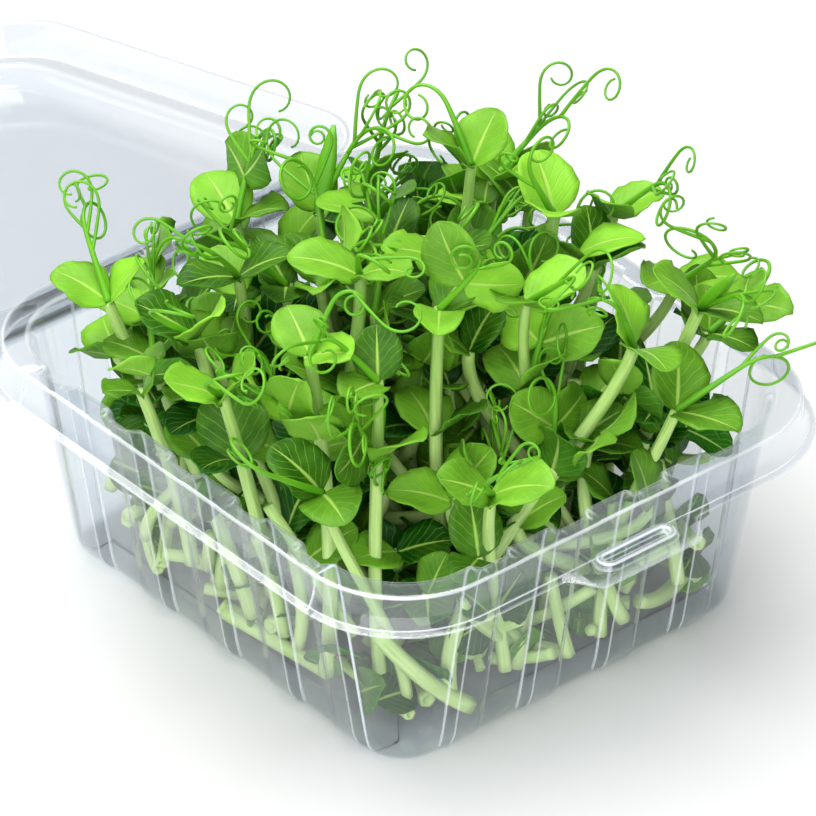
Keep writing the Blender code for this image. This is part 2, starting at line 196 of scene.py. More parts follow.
def rim_outline(ribs, lips):
    """Points round a rounded rectangle: core point, outward normal, rib height, lip reach."""
    half_x = TRAY_WIDTH / 2 - FLANGE_CORNER
    half_y = TRAY_LENGTH / 2 - FLANGE_CORNER
    points = []
    for turn in range(4):
        angle = math.radians(-90 + 90 * turn)
        normal = Vector((math.cos(angle), math.sin(angle)))
        along = Vector((-normal.y, normal.x))
        middle = Vector((normal.x * half_x, normal.y * half_y))
        half = half_x if turn % 2 == 0 else half_y
        places = [-half + POINT_PITCH * step for step in range(1, int(2 * half / POINT_PITCH))]
        # Each edge of a rib is turned over a tight radius, so it gets points of its own.
        edges = [(index - (ribs[turn] - 1) / 2) * RIB_PITCH + side * edge
                 for index in range(ribs[turn]) for side in (-1, 1)
                 for edge in (RIB_CREST, RIB_HALF_WIDTH)]
        places = [place for place in places
                  if all(abs(place - edge) > RIB_EDGE_CLEAR for edge in edges)]
        places += [edge + near for edge in edges for near in RIB_EDGE_POINTS]
        for place in sorted(places):
            rib = sum(rib_height(place + near, ribs[turn])
                      for near in (-RIB_EDGE_ROUND, 0.0, RIB_EDGE_ROUND)) / 3
            points.append((middle + along * place, normal, rib, lips[turn](place)))
        for step in range(CORNER_STEPS + 1):
            swung = angle + math.radians(90 * step / CORNER_STEPS)
            points.append((middle + along * half, Vector((math.cos(swung), math.sin(swung))), 0.0, 0.0))
    return points


BEND_STEPS = 4
# A bend takes up at most this share of the line on either side of it.
BEND_SHARE = 0.45


def rounded(stations, radii):
    """The stations of a profile, with each bend between its ends turned into a small curve."""
    made = [stations[0]]
    for before, here, after, radius in zip(stations, stations[1:], stations[2:], radii):
        ends = []
        for other in (before, after):
            gap = math.hypot(other[0] - here[0], other[1] - here[1])
            share = min(BEND_SHARE, radius / gap)
            ends.append([h + (o - h) * share for h, o in zip(here, other)])
        for step in range(BEND_STEPS + 1):
            late = step / BEND_STEPS
            made.append([a * (1 - late) ** 2 + 2 * h * late * (1 - late) + b * late ** 2
                         for a, h, b in zip(ends[0], here, ends[1])])
    made.append(stations[-1])
    return made


def tightness(before, here, after):
    """How tightly a line turns at a point: 1 for a bend of a millimetre's radius or less."""
    into = here - before
    out = after - here
    if into.length < 1e-7 or out.length < 1e-7:
        return 0.0
    return min(1.0, into.angle(out) / ((into.length + out.length) / 2 / MM))


# The value that the cut edge gets in the "bend" attribute: it paints a white highlight line there.
CUT_EDGE_HIGHLIGHT = 0.7
CREASE = math.radians(50)


def draw_sheet(name, rim, profile, place=Matrix()):
    """A formed sheet: a ring is extruded station by station along the profile, then thickened.

    Its "bend" attribute holds how tightly the sheet is turned at each point, and a fixed value
    along its cut edge; the film's material paints white highlight lines from it.
    """
    rings = []
    for inset, height, rib_depth, lip_share in profile:
        spots = [core + normal * (FLANGE_CORNER - inset + rib * rib_depth + lip * lip_share)
                 for core, normal, rib, lip in rim]
        rings.append([place @ Vector((spot.x, spot.y, height)) * MM for spot in spots])
    bpy.ops.object.select_all(action="DESELECT")
    bpy.ops.mesh.primitive_circle_add(vertices=len(rim), fill_type="NGON")
    sheet = bpy.context.object
    sheet.name = name
    bpy.ops.object.mode_set(mode="EDIT")
    # The points go round the circle in reverse, so that the floor faces down.
    indices = [list(range(len(rim)))[::-1]]
    for level, ring in enumerate(rings):
        if level:
            bpy.ops.mesh.extrude_edges_indiv()
        bm = bmesh.from_edit_mesh(sheet.data)
        bm.verts.index_update()
        bm.verts.ensure_lookup_table()
        if level:
            # Only the new ring is selected, and each of its points hangs on one of the last ring.
            old_verts = [bm.verts[index] for index in indices[-1]]
            indices.append([next(edge.other_vert(old).index for edge in old.link_edges
                                 if edge.other_vert(old).select) for old in old_verts])
        for index, spot in zip(indices[-1], ring):
            bm.verts[index].co = spot
    bpy.ops.object.mode_set(mode="OBJECT")
    bend = sheet.data.attributes.new("bend", "FLOAT", "POINT")
    for level in range(1, len(rings) - 1):
        for here, spot in enumerate(rings[level]):
            over = tightness(rings[level - 1][here], spot, rings[level + 1][here])
            round_it = tightness(rings[level][here - 1], spot, rings[level][(here + 1) % len(rim)])
            bend.data[indices[level][here]].value = max(over, round_it)
    # The cut edge gets a fixed value, so a white highlight line is painted along it.
    for index in indices[-1]:
        bend.data[index].value = CUT_EDGE_HIGHLIGHT
    solid = sheet.modifiers.new("sheet", "SOLIDIFY")
    solid.thickness = SHEET * MM
    solid.offset = -1.0
    bpy.ops.object.modifier_apply(modifier="sheet")
    bpy.ops.object.shade_smooth_by_angle(angle=CREASE)
    return sheet


# Clear drawn PET: a smooth, glassy film with the faintest haze. Its faces mirror the
# surround as a white veil, most of all at a slant. Where it is bent tightly, and along its cut
# edge, white scatter is mixed in: a painted highlight that stands in for the glints of the
# lamps on its rounded bends. It is so thin that what is behind it shows unbent.
clear_pet, tree, output = new_material("clear PET sheet")
bent = add_node(tree, "ShaderNodeAttribute", attribute_name="bend")
# Painted highlight: the tighter the bend, the more white scatter. A faint haze lies everywhere.
haze_and_painted_highlight = add_node(tree, "ShaderNodeMapRange", {
    "Value": bent.outputs["Fac"], "From Min": 0.4, "From Max": 1.0, "To Min": 0.012, "To Max": 0.32})
facing = add_node(tree, "ShaderNodeLayerWeight", {"Blend": 0.5})
steep = add_node(tree, "ShaderNodeMath", {0: facing.outputs["Facing"], 1: 4.0}, operation="POWER")
slant = add_node(tree, "ShaderNodeMath", {0: steep.outputs[0], 1: 0.8, 2: 0.04}, operation="MULTIPLY_ADD")
see_through = add_node(tree, "ShaderNodeBsdfTransparent", {"Color": linear("f7f9fb")})
mirror = add_node(tree, "ShaderNodeBsdfGlossy", {"Color": linear("ffffff"), "Roughness": 0.06})
white_haze_and_highlight = add_node(tree, "ShaderNodeBsdfPrincipled", {
    "Base Color": linear("f4f7fa"), "Roughness": 0.25, "IOR": 1.57})
film = add_node(tree, "ShaderNodeMixShader", {
    0: slant.outputs[0], 1: see_through.outputs[0], 2: mirror.outputs[0]})
film_with_painted_highlight = add_node(tree, "ShaderNodeMixShader", {
    0: haze_and_painted_highlight.outputs[0], 1: film.outputs[0], 2: white_haze_and_highlight.outputs[0]})
# Light goes through it: it throws no shadow of its own.
light_path = add_node(tree, "ShaderNodeLightPath")
surface = add_node(tree, "ShaderNodeMixShader", {
    0: light_path.outputs["Is Shadow Ray"], 1: film_with_painted_highlight.outputs[0], 2: see_through.outputs[0]})
tree.links.new(surface.outputs[0], output.inputs["Surface"])

HINGE_REACH = 2.35
HINGE_LIP_HALF_LENGTH = 44.2
HINGE_LIP_OGEE = 2.0


def hinge_reach(along):
    """The narrow lip that carries the living hinge, along the middle of the back."""
    return HINGE_REACH * smooth((HINGE_LIP_HALF_LENGTH - abs(along)) / HINGE_LIP_OGEE)


under_ledge = RIM_TOP - CAD_SHEET
flange = RIM_TOP - FLANGE_DROP - CAD_SHEET
# From the floor outwards: inset from the flange's edge, height, depth of a rib, share of a lip.
tray_profile = rounded((
    (BASE_INSET + 9.0, 0.3, 0.0, 0),
    (BASE_INSET + 5.0, 0.0, 0.0, 0),
    (BASE_INSET + 0.6, 0.9, 0.6, 0),
    (BASE_INSET - 0.8, 5.5, 2.3, 0),
    (WALL_INSET + 1.0, RIM_TOP - 3.0, RIB_DEPTH, 0),
    (WALL_INSET, under_ledge, RIB_DEPTH, 0),
    (LEDGE_INSET, under_ledge, 0, 0),
    (LEDGE_INSET - 0.4, RIM_TOP - 5.5, 0, 0),
    (LEDGE_INSET - 1.8, flange + 0.8, 0, 0),
    (0.0, flange, 0, 1),
), (4.0, 3.0, 3.0, 1.5, 1.0, 0.6, 0.8, 0.4))
tray_rim = rim_outline((4, 5, 4, 5), (tab_reach, no_lip, hinge_reach, no_lip))
tray = draw_sheet("clear_tray", tray_rim, tray_profile)
tray.data.materials.append(clear_pet)
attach(tray, "tray")
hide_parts("tray")

# The latch button, pressed up out of the tab: a long bar with a sunk middle.
BUTTON_Y = -(TRAY_LENGTH / 2 + 1.5)
BUTTON_END_STEPS = 12
button_rim = []
for end in (1, -1):
    for step in range(BUTTON_END_STEPS + 1):
        swung = math.radians(-90 + 180 * step / BUTTON_END_STEPS + (0 if end > 0 else 180))
        button_rim.append((Vector((end * (BUTTON_LENGTH - BUTTON_WIDTH) / 2, BUTTON_Y)),
                           Vector((math.cos(swung), math.sin(swung))), 0.0, 0.0))
button_profile = rounded([(FLANGE_CORNER - radius, flange + height, 0.0, 0.0) for radius, height in (
    (0.5, 1.0), (1.3, 1.0), (1.8, 2.1), (2.7, 2.1), (3.4, 0.75))], (0.3, 0.3, 0.3))
button = draw_sheet("latch_button", button_rim, button_profile)
button.data.materials.append(clear_pet)
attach(button, "tray")

# ------------------------------------------------------------------ lid
# The same drawn PET: a shallow domed cap with a stepped skirt that would close over the
# tray's rim. It lies open, past flat, so that the far edge of its panel rests on the table.

HINGE_GAP = 0.15
HINGE_Y = TRAY_LENGTH / 2 + HINGE_REACH + HINGE_GAP
HINGE_Z = RIM_TOP - FLANGE_DROP + HINGE_GAP
LID_LEDGE_DEPTH = 9.2
LID_DOME_DEPTH = 6.0
LID_REST_INSET = 12.5

lid_far = HINGE_REACH + 2 * HINGE_GAP + TRAY_LENGTH - LID_REST_INSET
lid_deep = LID_LEDGE_DEPTH + LID_DOME_DEPTH + CAD_SHEET
lid_tilt = math.asin(HINGE_Z / math.hypot(lid_far, lid_deep)) - math.atan2(lid_deep, lid_far)
lid_place = (Matrix.Translation((0, HINGE_Y, HINGE_Z)) @ Matrix.Rotation(-lid_tilt, 4, "X")
             @ Matrix.Translation((0, TRAY_LENGTH / 2 + HINGE_REACH + HINGE_GAP, 0)))
lid_flange = -CAD_SHEET - HINGE_GAP
lid_ledge = lid_flange - LID_LEDGE_DEPTH + HINGE_GAP
lid_profile = rounded((
    (22.0, lid_ledge - LID_DOME_DEPTH, 0, 0),
    (13.0, lid_ledge - LID_DOME_DEPTH, 0, 0),
    (10.6, lid_ledge - LID_DOME_DEPTH + 1.2, 0.3, 0),
    (8.6, lid_ledge, 0.9, 0),
    (2.9, lid_ledge, 0, 0),
    (2.3, lid_ledge + 4.6, 0, 0),
    (1.2, lid_flange, 0, 0),
    (0.0, lid_flange, 0, 1),
), (3.0, 2.5, 1.5, 1.0, 0.8, 0.5, 0.4))
lid_rim = rim_outline((0, 0, 0, 0), (hinge_reach, no_lip, no_lip, no_lip))
lid = draw_sheet("clear_lid", lid_rim, lid_profile, lid_place)
lid.data.materials.append(clear_pet)
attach(lid, "lid")
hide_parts("lid")

# The living hinge: the sheet pressed to a thin bead along the line between the two rims.
BEAD_RADIUS = 0.4
BEAD_LENGTH = 88.0
BEAD_ROUND = 0.15
bpy.ops.object.select_all(action="DESELECT")
bpy.ops.mesh.primitive_cylinder_add(
    vertices=16, radius=BEAD_RADIUS * MM, depth=BEAD_LENGTH * MM,
    location=Vector((0, HINGE_Y, HINGE_Z)) * MM, rotation=(0, math.pi / 2, 0))
hinge_bead = bpy.context.object
hinge_bead.name = "living_hinge"
bpy.ops.object.transform_apply(location=True, rotation=True, scale=True)
bevel = hinge_bead.modifiers.new("rounded ends", "BEVEL")
bevel.width = BEAD_ROUND * MM
bevel.segments = 2
bpy.ops.object.modifier_apply(modifier="rounded ends")
bpy.ops.object.shade_smooth_by_angle(angle=CREASE)
hinge_bead.data.materials.append(clear_pet)
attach(hinge_bead, "tray")

# ------------------------------------------------------------------ pea shoots
# Young pea plants cut off above the ground: pale, ridged, juicy stems, each node with a
# pair of clasping stipules and a stalk that carries leaflets and ends in curling tendrils.
# They stand and lean in the tray, crowd together, and rise in a loose heap above its rim.

SEED = 11
DRAWS = 16
# Points of two shoots that are nearer than this count as crowded.
CROWDED = 4.0
STEM_CLEAR = 2.6
UP = Vector((0.0, 0.0, 1.0))
STEM_RADIUS = (1.4, 1.9)
STEM_STEPS = 24
LEAF_LENGTH = (17, 22)
LEAF_WIDTH = 0.84
STALK_LEAF_LENGTH = (15, 19)
STALK_LEAF_WIDTH = 14.5
TENDRIL_LENGTH = (44, 64)
TENDRIL_TURNS = (1.0, 1.6)
TENDRIL_STEPS = 60
# The step of a tendril at which its stalk carries a pair of leaflets.
FORK = 14
LEAF_CLEAR = 1.0
TENDRIL_CLEAR = 1.5
# The shoots that shape the heap: the cut end's x and y, the top node's x, y and z, and its kind.
SHOOTS = (
    (-44, -46, -37, -36, 90, "leafy"),
    (-50, -32, -46, -22, 94, "leafy"),
    (-32, -57, 26, -55, 82, "leafy"),
    (-46, -12, -61, -8, 82, "slim"),
    (-16, -44, -13, -30, 97, "arched"),
    (-38, 38, -53, 45, 78, "leafy"),
    (20, 4, 30, 9, 100, "leafy"),
    (34, -46, 45, -57, 86, "bud"),
    (44, -14, 60, -9, 82, "slim"),
    (-4, 44, -8, 52, 78, "arched"),
    (8, 28, 4, 35, 85, "bud"),
    (10, 10, 8, 17, 90, "slim"),
    (-24, -8, -19, -8, 98, "leafy"),
    (2, -20, 1, -14, 97, "slim"),
    (28, -28, 33, -18, 98, "leafy"),
    (6, -46, 8, -37, 93, "leafy"),
    (-24, 18, -31, 23, 87, "slim"),
    (40, 20, 50, 24, 80, "slim"),
    (28, 46, 35, 53, 70, "slim"),
    (-46, 12, -52, 13, 84, "slim"),
    (-16, -58, -24, -62, 66, "low"),
    (14, -58, 30, -66, 68, "low"),
    (-40, -50, -54, -36, 66, "low"),
    (46, 2, 62, -30, 72, "low"),
)


FLOOR_HEIGHT = 2.5
FOOT_CURVE = 1.6
OVERHANG = 8.0
LID_PATH = 7.0


def free_of_tray(point, spare):
    """True where a point keeps this distance from the tray's inside and from the lid's path."""
    if point.z < FLOOR_HEIGHT + spare:
        return False
    if point.z > RIM_TOP + spare:
        return point.y < HINGE_Y - LID_PATH - spare and abs(point.x) < TRAY_WIDTH / 2 + OVERHANG
    inset = BASE_INSET + FOOT_CURVE - (BASE_INSET - WALL_INSET) * point.z / RIM_TOP + CAD_SHEET + spare
    past_x = max(0.0, abs(point.x) - (TRAY_WIDTH / 2 - FLANGE_CORNER))
    past_y = max(0.0, abs(point.y) - (TRAY_LENGTH / 2 - FLANGE_CORNER))
    return math.hypot(past_x, past_y) < FLANGE_CORNER - inset


def bezier(start, pull_start, pull_end, end, count):
    """Points on a cubic curve."""
    points = []
    for index in range(count + 1):
        late = index / count
        early = 1 - late
        points.append(start * early ** 3 + pull_start * (3 * early * early * late)
                      + pull_end * (3 * early * late * late) + end * late ** 3)
    return points


def across(direction, angle):
    """A unit vector square to a direction, turned by an angle about it."""
    side = direction.cross(UP)
    if side.length < 0.05:
        side = direction.cross(Vector((0.0, 1.0, 0.0)))
    return Matrix.Rotation(angle, 3, direction) @ side.normalized()


def tendril_path(root, heading, axis, length, turns):
    """A stalk that runs out nearly straight and ends in a coil."""
    points = [root.copy()]
    heading = heading.normalized()
    for index in range(TENDRIL_STEPS):
        share = (index + 0.5) / TENDRIL_STEPS
        wound = 0.25 * share + turns * 2 * math.pi * max(0.0, (share - 0.32) / 0.68) ** 1.5
        turned = Matrix.Rotation(wound, 3, axis) @ heading
        points.append(points[-1] + (turned + axis * 0.16 * share) * (length / TENDRIL_STEPS))
    return points


def leaf(root, heading, facing, length, width, rng):
    """One ovate leaflet, as the numbers that its surface is worked out from."""
    heading = heading.normalized()
    side = heading.cross(facing).normalized()
    return {
        "root": root, "heading": heading, "side": side, "facing": side.cross(heading),
        "length": length, "width": width, "arch": rng.uniform(0.08, 0.3),
        "cup": rng.uniform(0.02, 0.16), "wave": rng.uniform(0.3, 0.9), "phase": rng.uniform(0, 6.3),
    }


def leaf_point(made, along, sideways):
    """A point of a leaflet: along runs 0 to 1 from root to tip, sideways -1 to 1.

    It is ovate, cupped across, arched along, and has a wavy edge.
    """
    half = made["width"] / 2 * 1.96 * along ** 0.48 * (1 - along) ** 0.55
    lift = made["cup"] * half * sideways * sideways - made["arch"] * made["length"] * along * along
    lift += made["wave"] * sideways * sideways * math.sin(made["phase"] + 9 * along + 1.5 * sideways)
    reach = made["length"] * (along - 0.12 * along * along)
    return (made["root"] + made["heading"] * reach + made["side"] * (half * sideways)
            + made["facing"] * lift)


def grow(base, tip, kind, rng):
    """One shoot: a stem with its leafy nodes, leaflets on their stalks, tendrils and a bud."""
    rise = (tip - base).length
    lean = Vector((tip.x / 210, tip.y / 210, 1)).normalized()
    sway = Vector((rng.uniform(-8, 8), rng.uniform(-8, 8), rise * 0.35))
    stem = bezier(base, base + sway, tip - lean * rise * 0.35, tip, STEM_STEPS)
    shoot = {"stem": stem, "radius": rng.uniform(*STEM_RADIUS), "leaves": [], "tendrils": [],
             "buds": []}
    turn = rng.uniform(0, 6.3)
    # Each node's place on the stem and its size: one at the top and, on tall shoots, one below.
    nodes = [(STEM_STEPS, 1.0 if kind == "low" else 0.88)]
    if kind != "low":
        nodes.insert(0, (rng.choice((15, 16, 17)), 1.0))
    for place, size in nodes:
        # Two stipules clasp the node.
        along = (stem[place] - stem[place - 2]).normalized()
        for second in (0, 1):
            outwards = across(along, turn + second * 2.5)
            spread = rng.uniform(0.5, 1.05)
            heading = along * math.cos(spread) + outwards * math.sin(spread)
            facing = along * math.sin(spread) - outwards * math.cos(spread)
            length = rng.uniform(*LEAF_LENGTH) * size
            shoot["leaves"].append(
                leaf(stem[place], heading, facing, length, length * LEAF_WIDTH, rng))
        # A stalk leaves between them and ends in a tendril.
        stalk = across(along, turn + 1.3 + rng.uniform(-0.5, 0.5))
        heading = along * 0.8 + stalk * 0.6
        axis = heading.cross(across(along, rng.uniform(0, 6.3))).normalized()
        path = tendril_path(stem[place], heading, axis, rng.uniform(*TENDRIL_LENGTH) * size,
                            rng.uniform(*TENDRIL_TURNS))
        at_top = place == STEM_STEPS
        if at_top or kind == "leafy":
            shoot["tendrils"].append(path)
        if not at_top and kind == "leafy" or at_top and kind == "arched":
            for sign in (-1, 1):
                growing = (path[FORK + 2] - path[FORK - 2]).normalized()
                outwards = axis.cross(growing).normalized() * sign
                shoot["leaves"].append(leaf(path[FORK], growing * 0.5 + outwards * 0.85, axis,
                                            rng.uniform(*STALK_LEAF_LENGTH), STALK_LEAF_WIDTH, rng))
        turn += 1.6
    if kind == "bud":
        reach = (lean + across(lean, turn) * 0.5).normalized()
        shoot["buds"].append([tip + reach * step for step in (-1.5, 2, 7, 13, 18, 21)])
    return shoot


def samples(shoot):
    """Points spread over a shoot, to test how near it comes to others."""
    points = shoot["stem"][3::3]
    for path in shoot["tendrils"] + shoot["buds"]:
        points = points + path[2::5]
    for made in shoot["leaves"]:
        points = points + [leaf_point(made, *spot)
                           for spot in ((0.3, 0), (0.45, -0.8), (0.45, 0.8), (0.95, 0))]
    return points


def search_tree(points):
    """A tree that finds which of these points are near another."""
    tree = KDTree(len(points))
    for index, point in enumerate(points):
        tree.insert(point, index)
    tree.balance()
    return tree


def trim_to_tray(shoot):
    """Drops the leaves, tendrils and buds that would touch the tray, and counts them."""
    def leaf_is_free(made):
        return all(free_of_tray(leaf_point(made, along, side), LEAF_CLEAR)
                   for along in (0.25, 0.5, 0.75, 1.0) for side in (-1, 1))

    before = len(shoot["leaves"]) + len(shoot["tendrils"]) + len(shoot["buds"])
    shoot["leaves"] = [made for made in shoot["leaves"] if leaf_is_free(made)]
    for kind in ("tendrils", "buds"):
        shoot[kind] = [path for path in shoot[kind]
                       if all(free_of_tray(point, TENDRIL_CLEAR) for point in path)]
    return before - len(shoot["leaves"]) - len(shoot["tendrils"]) - len(shoot["buds"])


def plan_shoots():
    """Every shoot, drawn several times and kept as it stands clearest of the tray and the others."""
    rng = random.Random(SEED)
    shoots = []
    taken = []
    for cut_x, cut_y, tip_x, tip_y, tip_z, kind in SHOOTS:
        near = search_tree(taken)
        best = None
        for draw in range(DRAWS):
            base = Vector((cut_x, cut_y, rng.uniform(5.5, 11)))
            shoot = grow(base, Vector((tip_x, tip_y, tip_z)), kind, rng)
            if not all(free_of_tray(point, STEM_CLEAR) for point in shoot["stem"]):
                continue
            lost = trim_to_tray(shoot)
            cost = 3 * lost + sum(len(near.find_range(point, CROWDED)) for point in samples(shoot))
            if best is None or cost < best[0]:
                best = (cost, shoot)
        shoots.append(best[1])
        taken += samples(best[1])
    return shoots


# Where each finish stands in the materials of every piece of greens.
STEM, UPPER_SIDE, UNDER_SIDE, TENDRIL = range(4)
CUT_DEPTH = 2.0


def sweep(bm, surface_map, points, radii, sides, slot, ridges=0, ridge_depth=0.0, hollow=0.0):
    """Adds a closed tube along points; ridges run along it, and its first, cut end can be hollow.

    Its UV runs once round the tube, and along it in centimetres.
    """
    heading = (points[1] - points[0]).normalized()
    side = across(heading, 0.0)
    frames = []
    for index, point in enumerate(points):
        ahead = points[min(index + 1, len(points) - 1)] - points[max(index - 1, 0)]
        heading = ahead.normalized()
        side = (side - heading * side.dot(heading)).normalized()
        place = index / (len(points) - 1) * (len(radii) - 1)
        first = min(int(place), len(radii) - 2)
        radius = radii[first] + (radii[first + 1] - radii[first]) * (place - first)
        frames.append((point, side, heading.cross(side), radius))
    if hollow:
        # Two rings inside the cut end make its rim and the pit behind it.
        point, side, other, radius = frames[0]
        depth = (points[1] - points[0]).normalized() * CUT_DEPTH
        frames = [(point + depth, side, other, radius * hollow * 0.9),
                  (point, side, other, radius * hollow)] + frames
    rings = []
    for point, side, other, radius in frames:
        ring = []
        for step in range(sides):
            angle = 2 * math.pi * step / sides
            swollen = radius * (1 + ridge_depth * math.cos(ridges * angle))
            spot = point + (side * math.cos(angle) + other * math.sin(angle)) * swollen
            ring.append(bm.verts.new(spot * MM))
        rings.append(ring)
    faces = [bm.faces.new(rings[0][::-1]), bm.faces.new(rings[-1])]
    length = 0.0
    for low, high in zip(rings, rings[1:]):
        further = length + (high[0].co - low[0].co).length / 0.01
        for step in range(sides):
            after = (step + 1) % sides
            face = bm.faces.new((low[step], low[after], high[after], high[step]))
            around = (step / sides, (step + 1) / sides)
            corners = ((around[0], length), (around[1], length),
                       (around[1], further), (around[0], further))
            for loop, spot in zip(face.loops, corners):
                loop[surface_map].uv = spot
            faces.append(face)
        length = further
    for face in faces:
        face.material_index = slot
        face.smooth = True


# A leaf's thickness.
LEAF_SKIN = 0.35
RIPPLE_HEIGHT = 0.35


def add_leaf(bm, surface_map, tone_and_shade_layer, made, tone_and_depth_shade, rows, columns):
    """Adds a leaflet: an upper and an under skin, a leaf's thickness apart, closed round the edge.

    Its UV is its own: sideways from -1 to 1, and along from 0 at the root to 1 at the tip.
    """
    rises = [0.5 - 0.5 * math.cos(math.pi * row / rows) for row in range(rows + 1)]
    skins = []
    for slot, lift in ((UPPER_SIDE, 0.5), (UNDER_SIDE, -0.5)):
        grid = []
        for row, along in enumerate(rises):
            swell = math.sin(math.pi * along)
            line = []
            for column in range(columns + 1):
                sideways = -1 + 2 * column / columns
                if row in (0, rows) and column:
                    line.append(line[0])
                    continue
                ripple = math.sin(made["phase"] * 3 + 26 * along) * abs(sideways) ** 3 * swell
                fold = 0.9 * abs(sideways) * swell
                spot = leaf_point(made, along, sideways)
                spot = spot + made["facing"] * (RIPPLE_HEIGHT * ripple + fold - 0.45 + lift * LEAF_SKIN)
                vert = bm.verts.new(spot * MM)
                vert[tone_and_shade_layer] = tone_and_depth_shade
                line.append(vert)
            grid.append(line)
        skins.append(grid)
        for row in range(rows):
            for column in range(columns):
                spots = [(row, column), (row, column + 1), (row + 1, column + 1), (row + 1, column)]
                if row == 0:
                    spots.pop(1)
                if row == rows - 1:
                    spots.pop(2)
                if slot == UNDER_SIDE:
                    spots.reverse()
                face = bm.faces.new([grid[r][c] for r, c in spots])
                face.material_index = slot
                face.smooth = True
                for loop, (r, c) in zip(face.loops, spots):
                    middle = column + 0.5 if r in (0, rows) else c
                    loop[surface_map].uv = (-1 + 2 * middle / columns, rises[r])
    rim = [(0, 0)] + [(row, columns) for row in range(1, rows)] + [(rows, 0)]
    rim += [(row, 0) for row in range(rows - 1, 0, -1)]
    upper, under = skins
    for here, (r, c) in enumerate(rim):
        r2, c2 = rim[(here + 1) % len(rim)]
        face = bm.faces.new((upper[r2][c2], upper[r][c], under[r][c], under[r2][c2]))
        face.material_index = UNDER_SIDE
        face.smooth = True
        for loop in face.loops:
            loop[surface_map].uv = (1.0, 0.5)


BOX_CLEAR = 1.2


def inside_box(path):
    """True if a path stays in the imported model's box."""
    return all(cad_low[axis] / MM + BOX_CLEAR < point[axis] < cad_high[axis] / MM - BOX_CLEAR
               for point in path for axis in range(3))


def side_branches(path, rng):
    """A tendril's branches: loops that leave it near its fork and curl each its own way."""
    made = []
    for place in rng.sample((15, 18, 20, 22, 30), rng.choice((2, 3, 4))):
        growing = (path[place + 1] - path[place - 1]).normalized()
        axis = across(growing, rng.uniform(0, 6.3))
        heading = Matrix.Rotation(rng.uniform(-0.9, -0.3), 3, axis) @ growing
        made.append(tendril_path(path[place], heading, axis, rng.uniform(22, 40),
                                 rng.uniform(0.6, 1.5)))
    return [branch for branch in made
            if inside_box(branch) and all(free_of_tray(point, 0.8) for point in branch)]


# Pea stem: juicy flesh under a smooth skin, nearly white at the cut end and greener above,
# with long pale and green fibres that show as streaks.
STREAKS_ROUND = 18
STREAK_LENGTH = 10.0
stem_flesh, tree, output = new_material("pea stem flesh")
coords = add_node(tree, "ShaderNodeTexCoord")
height = add_node(tree, "ShaderNodeSeparateXYZ", {0: coords.outputs["Object"]})
rise = add_node(tree, "ShaderNodeMapRange", {
    "Value": height.outputs["Z"], "From Min": 0.015, "From Max": 0.11, "To Min": 0.0, "To Max": 0.6})
# The stem's own UV map counts turns round it, and centimetres along it.
surface_place = add_node(tree, "ShaderNodeUVMap", uv_map="surface")
stretched = add_node(tree, "ShaderNodeMapping", {
    "Vector": surface_place.outputs[0], "Scale": (STREAKS_ROUND, 10.0 / STREAK_LENGTH, 1.0)})
fibres = add_node(tree, "ShaderNodeTexNoise", {
    "Vector": stretched.outputs[0], "Scale": 1.0, "Detail": 3.0})
streaked = add_node(tree, "ShaderNodeMath", {
    0: fibres.outputs["Fac"], 1: 0.9, 2: rise.outputs[0]}, operation="MULTIPLY_ADD")
green_share = add_node(tree, "ShaderNodeMath", {
    0: streaked.outputs[0], 1: 0.3}, operation="SUBTRACT", use_clamp=True)
tint = add_node(tree, "ShaderNodeMix", {
    "Factor": green_share.outputs[0], 6: linear("d2e89a"), 7: linear("74b422")}, data_type="RGBA")
relief = add_node(tree, "ShaderNodeBump", {
    "Height": fibres.outputs["Fac"], "Strength": 0.3, "Distance": 0.0004})
skin = add_node(tree, "ShaderNodeBsdfPrincipled", {
    "Base Color": tint.outputs[2], "Roughness": 0.36, "IOR": 1.38, "Normal": relief.outputs[0]})
tree.links.new(skin.outputs[0], output.inputs["Surface"])


VEIN_PAIRS = 6
MOTTLE_PATCH = 6.25


